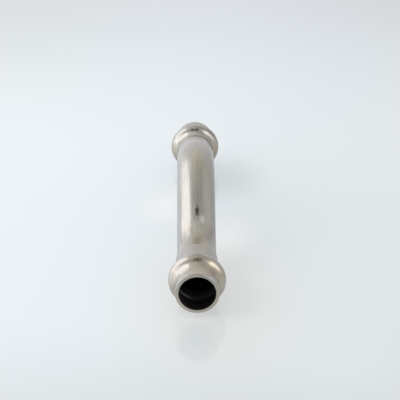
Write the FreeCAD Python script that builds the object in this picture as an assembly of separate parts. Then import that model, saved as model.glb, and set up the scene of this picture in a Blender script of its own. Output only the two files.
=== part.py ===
import FreeCAD, Part
import math
import os

# Press crossover fitting: one formed stainless tube with a beaded press socket at each end.
# The middle of the tube is bent up into a hump, so the run passes over a pipe that crosses it.
# A rubber sealing ring lies in the groove inside each bead.
#
# Millimetres. The origin is the centre of the near socket's mouth. +Y runs along the sockets'
# common axis to the far mouth, +Z points up to the hump, and +X is to the right.

# Hump
hump_height = 21.8          # rise of the centre line, run axis to crown
leg_slope = 36.0            # degrees, of the straight legs between the bends
foot_bend_radius = 23.5     # centre line, where the tube turns up beside each socket
crown_bend_radius = 41.0    # centre line, over the top of the hump
straight_beyond_stop = 2.3  # plain tube between the stop and the foot bend

# Sheet and tube
wall = 1.5
socket_bore_radius = 7.65   # takes a 15 mm tube
stop_depth = 0.5            # step of the radius that stops the tube
insertion_depth = 28.3      # mouth to the start of the stop
stop_blend_radius = 0.5     # smaller radius of each curve of the stop

# Lip and bead: the bead rises from the lip in a long hollow and falls more steeply to the socket
lip_flare = 0.25            # the lip's radii are this much larger than the socket's
rim_outer_round = 0.35
rim_inner_round = 0.15
mouth_to_bead = 11.6        # mouth to the crest of the bead
bead_height = 3.25          # crest above the socket's outside
front_crest_radius = 2.8    # the mouth's side of the crest
front_foot_radius = 6.0     # the hollow between the lip and the crest
back_crest_radius = 3.3     # the tube's side of the crest
back_foot_radius = 3.8      # the hollow between the crest and the socket

# Sealing ring
seal_protrusion = 0.15      # how far the ring stands into the bore
seal_groove_gap = 0.2       # between the ring and the crest of its groove

# Radii that follow
socket_radius = socket_bore_radius + wall
lip_radius = socket_radius + lip_flare
tube_radius = socket_radius - stop_depth
bead_radius = socket_radius + bead_height

# Stop: a curve down and a curve back, which share the wall's thickness, so it stays even
stop_turn = math.acos(1 - stop_depth / (2 * stop_blend_radius + wall))
stop_length = (2 * stop_blend_radius + wall) * math.sin(stop_turn)
lead_length = insertion_depth + stop_length + straight_beyond_stop

# Hump: the legs are as long as its height needs, and the run is as long as the hump needs
slope = math.radians(leg_slope)
bends = foot_bend_radius + crown_bend_radius
leg_length = (hump_height - bends * (1 - math.cos(slope))) / math.sin(slope)
half_span = bends * math.sin(slope) + leg_length * math.cos(slope)
middle = lead_length + half_span
overall_length = 2 * middle

across = FreeCAD.Vector(1, 0, 0)
along = FreeCAD.Vector(0, 1, 0)


def at(y, z):
    """A point of the fitting's middle plane."""
    return FreeCAD.Vector(0, y, z)


def line(start, end):
    return Part.LineSegment(start, end).toShape()


def arc(centre, radius, start, end):
    """The arc from one angle to another, in radians from +Y towards +Z."""

    def point(angle):
        return centre + at(radius * math.cos(angle), radius * math.sin(angle))

    return Part.Arc(point(start), point((start + end) / 2), point(end)).toShape()


def first(edge):
    return edge.valueAt(edge.FirstParameter)


def last(edge):
    return edge.valueAt(edge.LastParameter)


def bead_side(base, crest_radius, foot_radius, direction):
    """Centres of one side's crest arc and foot arc, and how far the line between them leans from level."""
    crest = at(mouth_to_bead, bead_radius - crest_radius)
    reach = crest_radius + foot_radius
    lean = math.asin((base + foot_radius - crest.z) / reach)
    foot = at(mouth_to_bead + direction * reach * math.cos(lean), base + foot_radius)
    return crest, foot, lean


def skin(depth, rim_end):
    """The socket's line, depth below its outside, from the mouth to the start of the foot bend."""
    base = socket_radius - depth
    crest, foot, lean = bead_side(lip_radius, front_crest_radius, front_foot_radius, -1)
    front_foot = arc(foot, front_foot_radius + depth, -math.pi / 2, -lean)
    front_crest = arc(crest, front_crest_radius - depth, math.pi - lean, math.pi / 2)
    crest, foot, lean = bead_side(socket_radius, back_crest_radius, back_foot_radius, 1)
    back_crest = arc(crest, back_crest_radius - depth, math.pi / 2, lean)
    back_foot = arc(foot, back_foot_radius + depth, math.pi + lean, math.pi * 3 / 2)
    down_radius = stop_blend_radius + wall - depth
    down = arc(at(insertion_depth, base - down_radius), down_radius, math.pi / 2, math.pi / 2 - stop_turn)
    up_radius = stop_blend_radius + depth
    stop_end = insertion_depth + stop_length
    up_centre = at(stop_end, base - stop_depth + up_radius)
    up = arc(up_centre, up_radius, math.pi * 3 / 2 - stop_turn, math.pi * 3 / 2)
    return [
        line(rim_end, first(front_foot)),
        front_foot,
        front_crest,
        back_crest,
        back_foot,
        line(last(back_foot), first(down)),
        down,
        up,
        line(last(up), at(lead_length, base - stop_depth)),
    ]


def socket():
    """Lip, bead, seal groove, stop and the straight tube behind them, turned about the run's axis."""
    lip_bore_radius = lip_radius - wall
    outside = skin(0, at(rim_outer_round, lip_radius))
    inside = skin(wall, at(rim_inner_round, lip_bore_radius))
    outer_round_centre = at(rim_outer_round, lip_radius - rim_outer_round)
    inner_round_centre = at(rim_inner_round, lip_bore_radius + rim_inner_round)
    outer_round = arc(outer_round_centre, rim_outer_round, math.pi, math.pi / 2)
    inner_round = arc(inner_round_centre, rim_inner_round, math.pi, math.pi * 3 / 2)
    rim = line(first(inner_round), first(outer_round))
    cut_end = line(last(outside[-1]), last(inside[-1]))
    outline = [rim, outer_round, cut_end, inner_round] + outside + inside
    section = Part.Face(Part.Wire(Part.__sortEdges__(outline)))
    return section.revolve(at(0, 0), along, 360)


def tube_section(centre, turn):
    """The ring of metal that a cut across the tube shows."""
    direction = at(math.cos(turn), math.sin(turn))
    outer = Part.Wire(Part.Circle(centre, direction, tube_radius).toShape())
    inner = Part.Wire(Part.Circle(centre, direction, tube_radius - wall).toShape())
    return Part.makeFace([outer, inner], "Part::FaceMakerBullseye")


def hump():
    """Foot bend, leg, crown, leg and foot bend, each tangent to the next."""
    foot_centre = at(lead_length, foot_bend_radius)
    crown_centre = at(middle, hump_height - crown_bend_radius)
    leg_start = foot_centre + at(foot_bend_radius * math.sin(slope), -foot_bend_radius * math.cos(slope))
    leg = at(leg_length * math.cos(slope), leg_length * math.sin(slope))
    foot = tube_section(at(lead_length, 0), 0).revolve(foot_centre, across, leg_slope)
    rise = tube_section(leg_start, slope).extrude(leg)
    crown = tube_section(leg_start + leg, slope).revolve(crown_centre, across, -2 * leg_slope)
    return [foot, rise, crown, mirrored(rise), mirrored(foot)]


def mirrored(shape):
    """The same shape at the far end."""
    return shape.mirror(at(middle, 0), along)


def crossover_body():
    near = socket()
    body = near.fuse(hump() + [mirrored(near)])
    return body.removeSplitter().Solids[0]


def seal_ring():
    """The near sealing ring, seated in its groove."""
    outer = bead_radius - wall - seal_groove_gap
    inner = socket_bore_radius - seal_protrusion
    section = (outer - inner) / 2
    return Part.makeTorus(inner + section, section, at(mouth_to_bead, 0), along)


os.makedirs("parts", exist_ok=True)
near_ring = seal_ring()
pieces = {
    "crossover_body": crossover_body(),
    "near_seal_ring": near_ring,
    "far_seal_ring": mirrored(near_ring),
}
print(f"mouth to mouth {overall_length:.3f} mm, straight leg {leg_length:.2f} mm")
for node, shape in pieces.items():
    shape.exportStep(f"parts/{node}.step")
    print(node, "solids", len(shape.Solids), "volume mm3", round(shape.Volume, 2))
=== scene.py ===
"""Press crossover fitting: satin stainless steel on a pale glossy floor, with soft light and the camera.

Metres, in the part's own frame: the origin is the centre of the near socket's mouth, +Y runs to the
far mouth and +Z points up to the hump.
"""

import math

import bpy
from mathutils import Matrix, Vector


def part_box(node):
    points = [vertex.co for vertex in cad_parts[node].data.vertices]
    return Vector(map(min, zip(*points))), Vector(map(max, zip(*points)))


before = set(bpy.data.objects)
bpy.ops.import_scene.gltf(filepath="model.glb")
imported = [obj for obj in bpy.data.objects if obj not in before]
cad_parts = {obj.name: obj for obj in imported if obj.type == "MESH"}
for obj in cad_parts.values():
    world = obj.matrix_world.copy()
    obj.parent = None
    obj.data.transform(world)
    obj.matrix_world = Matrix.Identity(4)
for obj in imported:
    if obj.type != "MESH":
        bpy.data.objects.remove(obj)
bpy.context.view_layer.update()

body_low, body_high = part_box("crossover_body")
ring_low, ring_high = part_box("near_seal_ring")

MM = 0.001
RUN = body_high.y                            # mouth to mouth
MIDDLE = RUN / 2
FLOOR_HEIGHT = body_low.z                    # the beads stand on the floor
BEAD_AT = (ring_low.y + ring_high.y) / 2     # middle of the near bead
SOCKET_RADIUS = 9.15 * MM
SOCKET_LENGTH = 32 * MM


# Camera

CAMERA_PITCH = 25.8765       # degrees below level
CAMERA_YAW = 0.4447          # degrees to the right of the run
CAMERA_ROLL = -0.2997        # degrees
CAMERA_FROM_BEAD = Vector((-2.3069, -476.453, 269.186)) * MM
FOCAL_PIXELS = 1279.256
PHOTO_WIDTH = 400
SENSOR_WIDTH = 36.0          # mm
CLIP_START = 0.01


def make_camera():
    data = bpy.data.cameras.new("camera")
    data.sensor_width = SENSOR_WIDTH
    data.lens = FOCAL_PIXELS * SENSOR_WIDTH / PHOTO_WIDTH
    data.clip_start = CLIP_START
    pitch = math.radians(CAMERA_PITCH)
    yaw = math.radians(CAMERA_YAW)
    roll = math.radians(CAMERA_ROLL)
    ahead = Vector((math.sin(yaw), math.cos(yaw), 0))
    forward = math.cos(pitch) * ahead - Vector((0, 0, math.sin(pitch)))
    level = Vector((math.cos(yaw), -math.sin(yaw), 0))
    above = level.cross(forward)
    right = math.cos(roll) * level + math.sin(roll) * above
    up = math.cos(roll) * above - math.sin(roll) * level
    turn = Matrix((right, up, -forward)).transposed()
    place = CAMERA_FROM_BEAD + Vector((0, BEAD_AT, 0))
    camera = bpy.data.objects.new("camera", data)
    camera.matrix_world = Matrix.Translation(place) @ turn.to_4x4()
    bpy.context.scene.collection.objects.link(camera)
    bpy.context.scene.camera = camera


# Node building

def add_node(tree, kind, inputs=None, **settings):
    """A node with its settings, and each input set to a value or linked to a socket."""
    node = tree.nodes.new(kind)
    for name, value in settings.items():
        setattr(node, name, value)
    for name, value in (inputs or {}).items():
        if isinstance(value, bpy.types.NodeSocket):
            tree.links.new(value, node.inputs[name])
        else:
            node.inputs[name].default_value = value
    return node


def calculate(tree, operation, first, second=0.0):
    return add_node(tree, "ShaderNodeMath", {0: first, 1: second}, operation=operation).outputs[0]


def product(tree, first, *others):
    for other in others:
        first = calculate(tree, "MULTIPLY", first, other)
    return first


def vector_math(tree, operation, first, second=(0, 0, 0)):
    node = add_node(tree, "ShaderNodeVectorMath", {0: first, 1: second}, operation=operation)
    return node.outputs["Value" if operation in ("DOT_PRODUCT", "LENGTH") else "Vector"]


def coordinate(tree, vector, axis):
    return add_node(tree, "ShaderNodeSeparateXYZ", {0: vector}).outputs[axis]


def rescale(tree, value, low, high, to_low=0.0, to_high=1.0, smooth=True):
    """The value carried from one range to another, held at the ends."""
    kind = "SMOOTHSTEP" if smooth else "LINEAR"
    inputs = {0: value, 1: low, 2: high, 3: to_low, 4: to_high}
    return add_node(tree, "ShaderNodeMapRange", inputs, interpolation_type=kind, clamp=True).outputs[0]


def mix(tree, amount, first, second, blend="MIX"):
    """Between two colours, or their product where the blend is MULTIPLY."""
    inputs = {0: amount, 6: first, 7: second}
    return add_node(tree, "ShaderNodeMix", inputs, data_type="RGBA", blend_type=blend).outputs[2]


def between(tree, amount, first, second):
    """Between two numbers."""
    inputs = {0: amount, 2: first, 3: second}
    return add_node(tree, "ShaderNodeMix", inputs, data_type="FLOAT").outputs[0]


def noise(tree, place, scale, detail=3.0, roughness=0.5):
    inputs = {"Vector": place, "Scale": scale, "Detail": detail, "Roughness": roughness}
    return add_node(tree, "ShaderNodeTexNoise", inputs).outputs[0]


def spot(tree, place, centre, size, core):
    """1 in the core of a mark and 0 outside its size, both in millimetres along X, Y and Z."""
    offset = vector_math(tree, "SUBTRACT", place, tuple(v * MM for v in centre))
    share = vector_math(tree, "DIVIDE", offset, tuple(v * MM for v in size))
    return rescale(tree, vector_math(tree, "LENGTH", share), core, 1.0, 1.0, 0.0)


def new_material(name):
    material = bpy.data.materials.new(name)
    material.use_nodes = True
    material.node_tree.nodes.clear()
    return material, material.node_tree


def show(tree, shader):
    """Link the shader to the material's output."""
    output = tree.nodes.new("ShaderNodeOutputMaterial")
    tree.links.new(shader.outputs[0], output.inputs[0])


# Stainless steel

STEEL = (0.49, 0.472, 0.45)
# painted shade on the walls inside the sockets, where little light gets in
DARK_BORE = (0.11, 0.105, 0.10, 1)
BORE_ROUGHNESS = 0.5
FACING_IN = -0.3                         # share of the radius, below which a wall faces the axis

# Mottling and grain of the finish, with the scales in cycles per metre
CLOUD_SCALE = 60.0
CLOUD_SPREAD = 0.07                      # of the colour
GRAIN_SCALE = 1500.0
RAGGED_SCALE = 900.0
RAGGED_REACH = 1.2 * MM                  # how far the edge of a mark wanders
PATCHY_EDGES = (0.3, 0.7)                # of the noise, between which the roughness changes
ROUGHNESS = (0.21, 0.29)

# Drawing lines along the tube and rings round the sockets
LINES_ROUND = 14.0                       # cycles from the middle of the tube to its side
LINES_ALONG = 60.0                       # cycles per metre
LINES_NOISE = {"detail": 4.0, "roughness": 0.6}
RINGS_STRETCH = (60.0, 1800.0, 60.0)     # cycles per metre along X, Y and Z
RINGS_NOISE = {"detail": 3.0, "roughness": 0.6}
RINGS_CONTRAST = (0.28, 0.72)
LINES_EDGES = (0.35, 0.65)               # of the noise, between which a line's shade comes in
LINES_SHADE = (0.88, 0.88, 0.88, 1)
LINES_UNTIL = MIDDLE - 33 * MM           # from the middle of the run
RINGS_FROM = MIDDLE - 29 * MM

# Bump: the grain stands highest in the hump, as orange peel, and the lines are shallow everywhere
BUMP_HEIGHT = 0.07 * MM
PEEL_IN_HUMP = 1.3
PEEL_ELSEWHERE = 0.3
PEEL_FADES = (16 * MM, 36 * MM)          # from the middle of the run
LINES_HEIGHT = 0.06

# Soft tints of the steel's colour: centre and size in millimetres, and what each does to the colour.
# Those that shift it towards straw stand for straw tint of the pickled finish; those that make it
# paler all over are painted reflections and highlights, and those that make it darker are painted
# shade, where less light falls or a highlight is dimmed.
TINTS = {
    "near_end": ((0, 6, 0), (30, 17, 30), (1.02, 1.0, 0.98)),
    # straw tint, and a painted highlight on the near bead's top
    "near_top_straw_and_highlight": ((0, 6, 10), (8, 9, 8), (1.13, 1.08, 0.96)),
    "near_right": ((9, 8, 4), (7, 8, 9), (1.10, 0.99, 0.86)),
    "near_left": ((-11, 9, 3), (5, 6, 9), (1.12, 1.04, 0.95)),
    "near_gold": ((5.5, 9.8, 9), (4, 3.5, 4), (1.05, 0.99, 0.88)),
    # painted reflection: the rim lighter at the bottom
    "rim_low_painted_reflection": ((-1, 0, -6), (22, 2.5, 18), (1.24, 1.18, 1.05)),
    # painted shade that dims a highlight on the rim's upper right
    "rim_top_right_painted_shade": ((4.5, 0, 7.5), (5, 2, 4), (0.88, 0.89, 0.91)),
    "near_left_shade": ((-9.9, 6.0, -1.2), (2.6, 5.5, 4), (0.82, 0.80, 0.79)),
    # painted highlight on the near bead's left front
    "near_left_painted_highlight": ((-7.2, 5.2, 6.0), (1.8, 2.4, 2.2), (1.20, 1.19, 1.17)),
    "near_glint_shade": ((4.9, 9.5, 10.45), (2.0, 1.5, 1.2), (0.84, 0.81, 0.78)),
    "lip_round_shade": ((4.1, 0.3, 8.5), (1.8, 1.0, 1.1), (0.78, 0.78, 0.78)),
    # brown tint, and painted shade under the bead's right highlight
    "near_brown_and_shade": ((6.6, 6.5, 6.8), (3.2, 3.2, 3.6), (0.84, 0.76, 0.71)),
    "near_low_right": ((9, 4, -1.5), (6, 9, 7), (1.09, 1.03, 0.93)),
    "crest_shade": ((-0.4, 11.6, 12.3), (4.2, 2.0, 1.6), (0.80, 0.78, 0.75)),
    # painted shade on the near socket's left
    "socket_left_painted_shade": ((-6.8, 22, 6.2), (3.0, 10, 4), (0.82, 0.82, 0.83)),
    "behind_near_bead": ((1.2, 31, 9), (7, 12, 5), (1.06, 0.985, 0.87)),
    "brown_shade": ((0.5, 32.6, 8.7), (4.0, 4.0, 3), (0.72, 0.65, 0.59)),
    # painted reflections and a painted highlight on the foot bend
    "foot_painted_reflection": ((0.8, 41.3, 11.5), (4.6, 7.5, 7), (1.38, 1.36, 1.32)),
    "foot_painted_reflection_low": ((2.0, 38, 9.8), (3.6, 3.2, 2.8), (1.16, 1.15, 1.10)),
    "foot_painted_reflection_spot": ((2.6, 44, 12.8), (2.0, 3.4, 3.2), (1.52, 1.52, 1.50)),
    # painted shade that dims the highlight and the edges of the foot bend
    "foot_left_painted_shade": ((-5.6, 36.4, 7.5), (4.2, 6.3, 4.2), (0.76, 0.75, 0.75)),
    "foot_right_painted_shade": ((6.4, 41, 8), (3.4, 7, 5), (0.84, 0.80, 0.81)),
    "foot_streak_painted_shade": ((-3.0, 39.6, 9.9), (1.5, 3, 2.4), (0.80, 0.79, 0.78)),
    "foot_edge_painted_shade": ((-3.0, 41.6, 11.3), (1.7, 4.5, 3.5), (0.88, 0.87, 0.87)),
    "foot_peach": ((-4.2, 40.2, 9.7), (2.2, 2.6, 2.6), (1.03, 0.95, 0.87)),
    # green tint, and painted shade on the slope
    "slope_green_and_shade": ((-1.0, 54, 20.5), (4.2, 11, 9), (0.87, 0.90, 0.88)),
    # painted highlight on the slope to the crown
    "slope_painted_highlight": ((-4.2, 70.5, 27), (3.2, 9, 7), (1.26, 1.24, 1.22)),
    "slope_olive": ((0.8, 72, 28.5), (5, 21, 13), (1.05, 1.0, 0.88)),
    # painted reflections on the far bead; the lower right one also shifts it towards straw
    "far_top_painted_reflection": ((-1.5, 147, 10), (12, 8, 11), (1.33, 1.33, 1.33)),
    "far_low_left_painted_reflection": ((-10, 151, 1), (5, 7, 9), (1.40, 1.35, 1.24)),
    "far_low_right_straw_and_reflection": ((11, 152, 0), (5, 6, 8), (1.14, 1.06, 0.93)),
    "far_hollow_right_painted_reflection": ((6, 145.5, 7), (5, 4, 4.5), (1.62, 1.64, 1.72)),
    "far_low": ((0, 153, -4), (30, 9, 11), (1.06, 1.01, 0.92)),
    # painted shade that dims the right softbox's highlight on the far bead
    "far_right": ((8, 153, 7.5), (4.0, 4, 5), (0.68, 0.67, 0.65)),
}
TINT_CORE = 0.0

# Dark marks and specks on the steel, and painted shade along the stop's trough: centre and size in
# millimetres, how much shows, and what it does to the colour
MARKS = {
    # a dark patch on top of the tube, with two streaks below it
    "dark_patch": ((0.3, 46.95, 15.9), (1.4, 1.8, 2.4), 1.0, (0.25, 0.26, 0.23)),
    "dark_patch_end": ((0.35, 45.5, 14.9), (1.3, 1.6, 2.0), 0.9, (0.36, 0.37, 0.33)),
    "dark_patch_tail": ((0.3, 48.7, 17.2), (0.6, 1.4, 1.7), 0.6, (0.40, 0.40, 0.37)),
    "left_streak": ((-0.8, 43.8, 13.6), (0.45, 1.9, 2.0), 0.5, (0.55, 0.55, 0.50)),
    "right_streak": ((0.5, 43.6, 13.4), (0.45, 1.8, 1.9), 0.5, (0.55, 0.55, 0.50)),
    "left_speck": ((-8.25, 76.6, 23.95), (1.5, 1.3, 1.3), 1.0, (0.3, 0.3, 0.31)),
    # painted shade along the trough of the stop
    "stop_trough_shade": ((0.2, 29.15, 8.8), (3.6, 1.2, 1.3), 1.0, (0.50, 0.43, 0.36)),
    "near_speck": ((0.4, 9.6, 11.5), (2.4, 1.5, 1.4), 0.7, (0.75, 0.68, 0.60)),
    "far_speck_left": ((-1.3, 151.85, 10.95), (0.8, 0.6, 0.7), 1.0, (0.35, 0.35, 0.33)),
    "far_speck_right": ((1.15, 151.85, 10.95), (0.8, 0.6, 0.7), 1.0, (0.35, 0.35, 0.33)),
}
MARK_CORE = 0.4


def distance_from_middle(tree, place):
    """Along the run."""
    along = coordinate(tree, place, "Y")
    return calculate(tree, "ABSOLUTE", calculate(tree, "SUBTRACT", along, MIDDLE))


def inside_sockets(tree, place, from_middle):
    """1 on the walls inside the two sockets, 0 elsewhere: there the normal points to the axis."""
    normal = add_node(tree, "ShaderNodeNewGeometry").outputs["Normal"]
    from_axis = vector_math(tree, "MULTIPLY", place, (1, 0, 1))
    outward = vector_math(tree, "DOT_PRODUCT", from_axis, normal)
    inward = calculate(tree, "LESS_THAN", outward, FACING_IN * SOCKET_RADIUS)
    in_socket = calculate(tree, "GREATER_THAN", from_middle, MIDDLE - SOCKET_LENGTH)
    return product(tree, inward, in_socket)


def forming_lines(tree, place, normal, from_middle):
    """Drawing lines along the tube, which give way to rings round the sockets."""
    side = product(tree, coordinate(tree, normal, "X"), LINES_ROUND)
    along = product(tree, coordinate(tree, place, "Y"), LINES_ALONG)
    line_place = add_node(tree, "ShaderNodeCombineXYZ", {"X": side, "Y": along}).outputs[0]
    tube_lines = noise(tree, line_place, 1.0, **LINES_NOISE)
    rings = noise(tree, vector_math(tree, "MULTIPLY", place, RINGS_STRETCH), 1.0, **RINGS_NOISE)
    rings = rescale(tree, rings, 0.0, 1.0, *RINGS_CONTRAST, smooth=False)
    on_tube = rescale(tree, from_middle, LINES_UNTIL, RINGS_FROM, 1.0, 0.0)
    return between(tree, on_tube, rings, tube_lines)


def ragged(tree, place):
    """The place moved to and fro by a noise, so that what is drawn there has a ragged edge."""
    inputs = {"Vector": place, "Scale": RAGGED_SCALE}
    wander = add_node(tree, "ShaderNodeTexNoise", inputs).outputs[1]
    about = vector_math(tree, "SUBTRACT", wander, (0.5, 0.5, 0.5))
    step = vector_math(tree, "MULTIPLY", about, (RAGGED_REACH, RAGGED_REACH, RAGGED_REACH))
    return vector_math(tree, "ADD", place, step)


def stainless():
    material, tree = new_material("pickled_stainless")
    coordinates = add_node(tree, "ShaderNodeTexCoord").outputs
    place = coordinates["Object"]
    from_middle = distance_from_middle(tree, place)
    cloud = noise(tree, place, CLOUD_SCALE)
    grain = noise(tree, place, GRAIN_SCALE, detail=1.0)
    lines = forming_lines(tree, place, coordinates["Normal"], from_middle)
    inside = inside_sockets(tree, place, from_middle)

    dark = tuple(v * (1 - CLOUD_SPREAD) for v in STEEL)
    light = tuple(v * (1 + CLOUD_SPREAD) for v in STEEL)
    colour = mix(tree, cloud, (*dark, 1), (*light, 1))
    colour = mix(tree, rescale(tree, lines, *LINES_EDGES), colour, LINES_SHADE, "MULTIPLY")
    for centre, size, tint in TINTS.values():
        colour = mix(tree, spot(tree, place, centre, size, TINT_CORE), colour, (*tint, 1), "MULTIPLY")
    mark_place = ragged(tree, place)
    for centre, size, amount, tint in MARKS.values():
        shown = product(tree, spot(tree, mark_place, centre, size, MARK_CORE), amount)
        colour = mix(tree, shown, colour, (*tint, 1), "MULTIPLY")
    # painted shade inside the sockets
    colour = mix(tree, inside, colour, DARK_BORE)

    roughness = rescale(tree, between(tree, 0.5, cloud, lines), *PATCHY_EDGES, *ROUGHNESS)
    roughness = calculate(tree, "MAXIMUM", roughness, product(tree, inside, BORE_ROUGHNESS))

    peel = rescale(tree, from_middle, *PEEL_FADES, PEEL_IN_HUMP, PEEL_ELSEWHERE)
    height = calculate(tree, "ADD", product(tree, grain, peel), product(tree, lines, LINES_HEIGHT))
    inputs = {"Height": height, "Distance": BUMP_HEIGHT, "Strength": 1.0}
    bump = add_node(tree, "ShaderNodeBump", inputs).outputs[0]

    inputs = {"Metallic": 1.0, "Base Color": colour, "Roughness": roughness, "Normal": bump}
    show(tree, add_node(tree, "ShaderNodeBsdfPrincipled", inputs))
    return material


# Rubber

RUBBER_DARK = (0.012, 0.012, 0.012, 1)
RUBBER_LIGHT = (0.020, 0.019, 0.018, 1)
RUBBER_CLOUD_SCALE = 300.0                # cycles per metre
GREASE_EDGES = (-6 * MM, 1 * MM)          # across, from where the film is thick to where it ends
GREASE_WANDER = 2 * MM
GREASED_ROUGHNESS = 0.22
DRY_ROUGHNESS = 0.85


def rubber():
    """Black rubber with a film of grease, thicker on the left."""
    material, tree = new_material("black_rubber")
    place = add_node(tree, "ShaderNodeTexCoord").outputs["Object"]
    cloud = noise(tree, place, RUBBER_CLOUD_SCALE)
    colour = mix(tree, cloud, RUBBER_DARK, RUBBER_LIGHT)
    side = calculate(tree, "ADD", coordinate(tree, place, "X"), product(tree, cloud, GREASE_WANDER))
    roughness = rescale(tree, side, *GREASE_EDGES, GREASED_ROUGHNESS, DRY_ROUGHNESS)
    inputs = {"Base Color": colour, "Roughness": roughness, "Specular IOR Level": 0.5}
    show(tree, add_node(tree, "ShaderNodeBsdfPrincipled", inputs))
    return material


def dress(node, material):
    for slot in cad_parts[node].material_slots:
        slot.material = material


# Floor

FLOOR_SIZE = 30.0
FLOOR_COLOUR = (0.46, 0.475, 0.485, 1)
FLOOR_ROUGHNESS = 0.1
ACRYLIC_IOR = 1.49

# The floor's own light, which the camera sees and the steel mirrors
GLOW = (0.845, 0.925, 1.0, 1)
GLOW_NEAR_END = (0.87, 0.895, 0.89, 1)
NEAR_END_SPOT = ((8, 15), (55, 90), 0.2)
GLOW_STRENGTH = 0.415

# Painted light and shadow of the steel in the floor's glow, where it throws light on the floor and
# where it hides light from it, and a paler glow to the right and beyond: centre and size in
# millimetres along X and Y, the core, and what each does to the glow's colour
GLOW_TINTS = {
    "before_mouth": ((0.5, 1.5), (13, 8), 0.3, (1.13, 1.13, 1.13)),
    "mirror_image": ((0, -16), (10, 15), 0.0, (0.91, 0.95, 1.0)),
    "glow_right": ((14, 75), (19, 30), 0.0, (1.19, 1.11, 1.10)),
    "glow_left": ((-13, 108), (20, 28), 0.0, (1.20, 1.13, 1.12)),
    "shade_right": ((23, 142), (21, 27), 0.0, (0.86, 0.86, 0.84)),
    "pale_right": ((60, -45), (60, 45), 0.0, (1.10, 1.10, 1.10)),
    "pale_beyond": ((40, 470), (180, 320), 0.0, (1.23, 1.23, 1.36)),
}

# How the glow changes along an axis, and how what the steel mirrors of it does: where the change
# starts and ends in metres, and the share of the glow at each
GLOW_FADES = {
    "across": ("X", -0.10, 0.10, 1.15, 0.985),
    "near": ("Y", -0.09, 0.01, 0.77, 1.0),
    "far": ("Y", 0.16, 0.50, 1.0, 0.54),
}
MIRRORED_FADES = {
    "across": ("X", -0.12, 0.06, 1.35, 0.50),
    "right": ("X", 0.06, 0.40, 1.0, 0.7),
}

# Painted reflections: where the floor glows brighter only in what the steel mirrors: centre and size
# in millimetres along X and Y, the core, and how much brighter it is there
MIRRORED_SPOTS = {
    "near_left": ((-80, 12), (75, 50), 0.5, 1.7),
    "near_right": ((42, 10), (40, 32), 0.3, 1.7),
    "far_right": ((16, 180), (27, 30), 0.3, 1.8),
}


def level_square(name, size, centre):
    """A square sheet in the scene, with its centre at a point of the sheet's own coordinates."""
    half = size / 2
    x, y, z = centre
    corners = [(x + i * half, y + j * half, z) for i, j in ((-1, -1), (1, -1), (1, 1), (-1, 1))]
    mesh = bpy.data.meshes.new(name)
    mesh.from_pydata(corners, [], [(0, 1, 2, 3)])
    sheet = bpy.data.objects.new(name, mesh)
    bpy.context.scene.collection.objects.link(sheet)
    return sheet


def floor_spot(tree, place, centre, size, core):
    """A mark on the floor, whose centre and size are in millimetres along X and Y."""
    return spot(tree, place, (*centre, FLOOR_HEIGHT / MM), (*size, max(size)), core)


def faded(tree, place, fades):
    """The product of changes along the axes."""
    share = 1.0
    for axis, start, end, at_start, at_end in fades.values():
        change = rescale(tree, coordinate(tree, place, axis), start, end, at_start, at_end)
        share = product(tree, change, share)
    return share


def make_floor():
    floor = level_square("floor", FLOOR_SIZE, (0, MIDDLE, FLOOR_HEIGHT))
    material, tree = new_material("white_acrylic")
    inputs = {"Base Color": FLOOR_COLOUR, "Roughness": FLOOR_ROUGHNESS, "IOR": ACRYLIC_IOR}
    acrylic = add_node(tree, "ShaderNodeBsdfPrincipled", inputs)
    place = add_node(tree, "ShaderNodeTexCoord").outputs["Object"]

    colour = mix(tree, floor_spot(tree, place, *NEAR_END_SPOT), GLOW, GLOW_NEAR_END)
    # painted light and shadow of the steel on the floor, and the paler glow beyond
    for centre, size, core, tint in GLOW_TINTS.values():
        mark = floor_spot(tree, place, centre, size, core)
        colour = mix(tree, mark, colour, (*tint, 1), "MULTIPLY")

    shade = faded(tree, place, MIRRORED_FADES)
    # painted reflections: the floor brighter where the steel mirrors it
    for centre, size, core, brighter in MIRRORED_SPOTS.values():
        mark = floor_spot(tree, place, centre, size, core)
        shade = product(tree, shade, rescale(tree, mark, 0.0, 1.0, 1.0, brighter))
    path = add_node(tree, "ShaderNodeLightPath").outputs
    mirrored = product(tree, path["Is Glossy Ray"], shade)
    seen = calculate(tree, "MAXIMUM", path["Is Camera Ray"], mirrored)
    strength = product(tree, seen, faded(tree, place, GLOW_FADES), GLOW_STRENGTH)

    glow = add_node(tree, "ShaderNodeEmission", {"Color": colour, "Strength": strength})
    show(tree, add_node(tree, "ShaderNodeAddShader", {0: acrylic.outputs[0], 1: glow.outputs[0]}))
    floor.data.materials.append(material)
    return floor


# Light

def toward(azimuth, elevation):
    """A direction: azimuth in degrees from +Y towards +X, elevation in degrees above level."""
    a = math.radians(azimuth)
    e = math.radians(elevation)
    return Vector((math.sin(a) * math.cos(e), math.cos(a) * math.cos(e), math.sin(e)))


# Softboxes for all but the floor, and the floor's own: place of the centre, azimuth that it faces,
# width, height and radiance
SOFTBOXES = {
    "left_softbox": ((-0.35, 0.06, 0.305), 90, 0.32, 0.63, 1.27),
    "left_softbox_end": ((-0.35, 0.31, 0.33), 90, 0.18, 0.54, 0.93),
    "left_wall": ((-0.35, 0.51, 0.255), 90, 0.22, 0.39, 0.47),
    "right_softbox": ((0.47, -0.29, 0.32), -51, 0.50, 0.56, 1.6),
}
FLOOR_SOFTBOX = ((-0.8, -0.08, 0.65), 85, 0.8, 0.8, 2.0)


def group_of(floor, link_state):
    """A collection of the floor, which a lamp lights alone (INCLUDE) or leaves out (EXCLUDE)."""
    group = bpy.data.collections.new("floor_" + link_state.lower())
    group.objects.link(floor)
    group.collection_objects[0].light_linking.link_state = link_state
    return group


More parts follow.
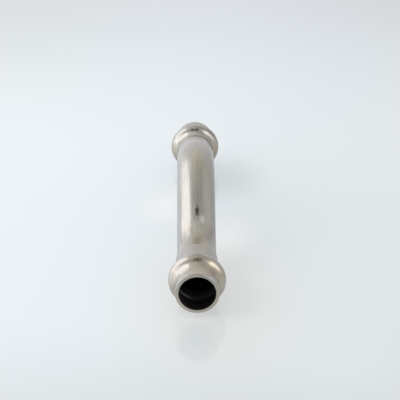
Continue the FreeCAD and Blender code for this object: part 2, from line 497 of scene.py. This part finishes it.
def make_lamp(name, place, facing, width, height, radiance, receivers):
    """A softbox, square to the level direction that it faces."""
    data = bpy.data.lights.new(name, "AREA")
    data.shape = "RECTANGLE"
    data.size = width
    data.size_y = height
    data.energy = radiance * width * height * math.pi
    lamp = bpy.data.objects.new(name, data)
    lamp.location = place
    lamp.rotation_euler = (-toward(facing, 0)).to_track_quat("Z", "Y").to_euler()
    lamp.visible_camera = False
    lamp.light_linking.receiver_collection = receivers
    bpy.context.scene.collection.objects.link(lamp)
    return lamp


# Radiance of the room, then what is lighter or darker in it: azimuth, elevation and reach in degrees,
# and how much it adds
ROOM = 0.57
ROOM_PATCHES = {
    "pale_wall_beyond": (-22, 12, 62, 0.30),
    "pale_corner_beyond": (45, 25, 45, 0.04),
    "pale_window_beyond": (-28, 22, 32, 0.07),
    "pale_lintel_beyond": (20, 40, 24, 0.05),
    "grey_ceiling_right": (90, 65, 40, -0.06),
    "pale_ceiling_left": (-72, 68, 45, 0.19),
    "pale_wall_right": (85, 26, 42, 0.14),
}
LOW_LIGHT = (1.0, 1.0, 1.0, 1)
CEILING_LIGHT = (0.985, 0.99, 0.93, 1)
CEILING_SIDE = Vector((0.6, 0, 0.8))    # the ceiling's tint is strongest above and to the right
CEILING_EDGES = (0.0, 0.8)              # cosines of the angle from there
HORIZON = (0.73, 0.776, 0.80, 1)        # what the camera sees beyond the floor


def make_world():
    world = bpy.data.worlds.new("studio")
    bpy.context.scene.world = world
    world.use_nodes = True
    tree = world.node_tree
    tree.nodes.clear()
    direction = add_node(tree, "ShaderNodeTexCoord").outputs["Generated"]

    def nearness(axis):
        return vector_math(tree, "DOT_PRODUCT", direction, tuple(axis))

    strength = ROOM
    for azimuth, elevation, reach, amount in ROOM_PATCHES.values():
        edge = math.cos(math.radians(reach))
        patch = rescale(tree, nearness(toward(azimuth, elevation)), edge, 1.0, 0.0, amount)
        strength = calculate(tree, "ADD", patch, strength)
    ceiling = rescale(tree, nearness(CEILING_SIDE), *CEILING_EDGES)
    seen = add_node(tree, "ShaderNodeLightPath").outputs["Is Camera Ray"]
    colour = mix(tree, seen, mix(tree, ceiling, LOW_LIGHT, CEILING_LIGHT), HORIZON)
    inputs = {"Color": colour, "Strength": between(tree, seen, strength, 1.0)}
    background = add_node(tree, "ShaderNodeBackground", inputs)
    output = tree.nodes.new("ShaderNodeOutputWorld")
    tree.links.new(background.outputs[0], output.inputs[0])


CARD_CENTRE = Vector((0, -0.30, 0.565))
CARD_SIZE = 0.30
CARD_GLOW = 0.14


def make_dark_card():
    """The dark studio above and behind the camera, which only reflections show."""
    card = level_square("dark_card", CARD_SIZE, (0, 0, 0))
    card.location = CARD_CENTRE
    away = CARD_CENTRE - Vector((0, MIDDLE, 0))
    card.rotation_euler = away.to_track_quat("Z", "Y").to_euler()
    card.visible_camera = False
    card.visible_diffuse = False
    card.visible_shadow = False
    material, tree = new_material("dark_card")
    show(tree, add_node(tree, "ShaderNodeEmission", {"Strength": CARD_GLOW}))
    card.data.materials.append(material)


steel = stainless()
black = rubber()
dress("crossover_body", steel)
dress("near_seal_ring", black)
dress("far_seal_ring", black)
floor = make_floor()
make_world()
make_dark_card()
all_but_floor = group_of(floor, "EXCLUDE")
for name, settings in SOFTBOXES.items():
    make_lamp(name, *settings, all_but_floor)
floor_lamp = make_lamp("floor_softbox", *FLOOR_SOFTBOX, group_of(floor, "INCLUDE"))
floor_lamp.visible_glossy = False
make_camera()

bpy.context.scene.view_settings.view_transform = "Standard"
